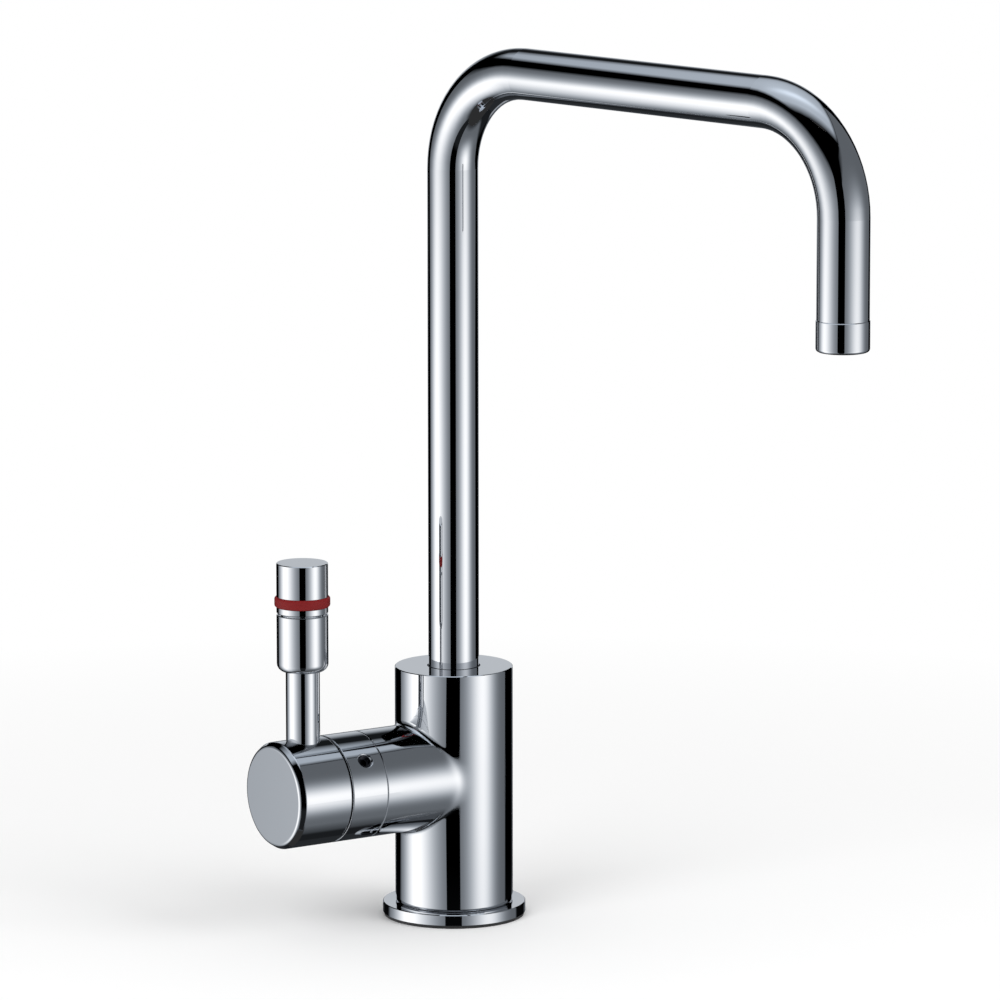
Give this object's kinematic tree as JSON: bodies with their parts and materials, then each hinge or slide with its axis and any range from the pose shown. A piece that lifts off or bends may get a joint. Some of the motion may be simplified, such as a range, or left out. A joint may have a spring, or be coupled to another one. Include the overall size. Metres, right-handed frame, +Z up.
{
  "type": "boiling water tap",
  "caption": "Worktop boiling water tap: round body on a flange, square-arch swivel spout and a side lever with a ceramic-disc valve and a lift-to-release child lock.",
  "frame": {"origin": "on the body's axis at the worktop, at the mouth of the fixing stud's hole", "axes": "+Z up along the body's axis; the valve branch runs along -X; -Y is the front, where the spout points"},
  "size_m": [0.1228, 0.2159, 0.314],
  "materials": {
    "chrome": "polished",
    "brass": "turned",
    "black_rubber": "matt",
    "clear_silicone": "translucent matt",
    "red_silicone": "satin",
    "black_slide_plastic": "matt",
    "white_plastic": "satin",
    "ceramic": "lapped ceramic",
    "steel": "machined",
    "black_oxide_steel": "black oxide"
  },
  "bodies": {
    "tap_base": {"base_gasket": "black_rubber", "base_flange": "chrome", "base_connector": "brass", "connector_oring": "black_rubber", "tap_body": "chrome", "spout_guide_ring": "black_slide_plastic", "spout_thrust_washer": "white_plastic", "spout_grub_screw": "black_oxide_steel", "bonnet_ring": "chrome", "bonnet_grub_screw": "black_oxide_steel", "cartridge_body": "brass", "cartridge_oring": "black_rubber", "seat_seal": "clear_silicone", "fixed_ceramic_disc": "ceramic", "stop_ring": "brass"},
    "spout": {"spout_tube": "chrome", "spout_insert": "brass", "spout_orings": "black_rubber", "outlet_adapter": "brass", "outlet_housing": "chrome", "outlet_washer": "black_rubber", "outlet_screen": "steel", "flow_straightener": "white_plastic"},
    "lever": {"handle_hub": "chrome", "hub_grub_screw": "black_oxide_steel", "valve_spindle": "brass", "slip_washer": "white_plastic", "spindle_orings": "black_rubber", "spindle_circlip": "steel", "moving_ceramic_disc": "ceramic", "lever_stem": "chrome", "lever_sleeve": "chrome", "lock_bush": "brass", "lock_spring": "steel"},
    "lock_knob": {"lock_knob": "chrome", "indicator_ring": "red_silicone", "lock_pin": "steel"}
  },
  "joints": [
    {"name": "spout_swivel", "type": "hinge", "parent": "tap_base", "child": "spout", "pos_m": [0, 0, 0], "axis": [0, 0, 1], "continuous": true},
    {"name": "lever_turn", "type": "hinge", "parent": "tap_base", "child": "lever", "pos_m": [0, 0, 0.052], "axis": [1, 0, 0], "range_deg": [0, 90]},
    {"name": "lock_lift", "type": "slide", "parent": "lever", "child": "lock_knob", "axis": [0, 0, 1], "range_m": [0, 0.003], "stiffness_N_per_m": 600, "springref_m": -0.005, "deforming": ["lock_spring"]}
  ]
}
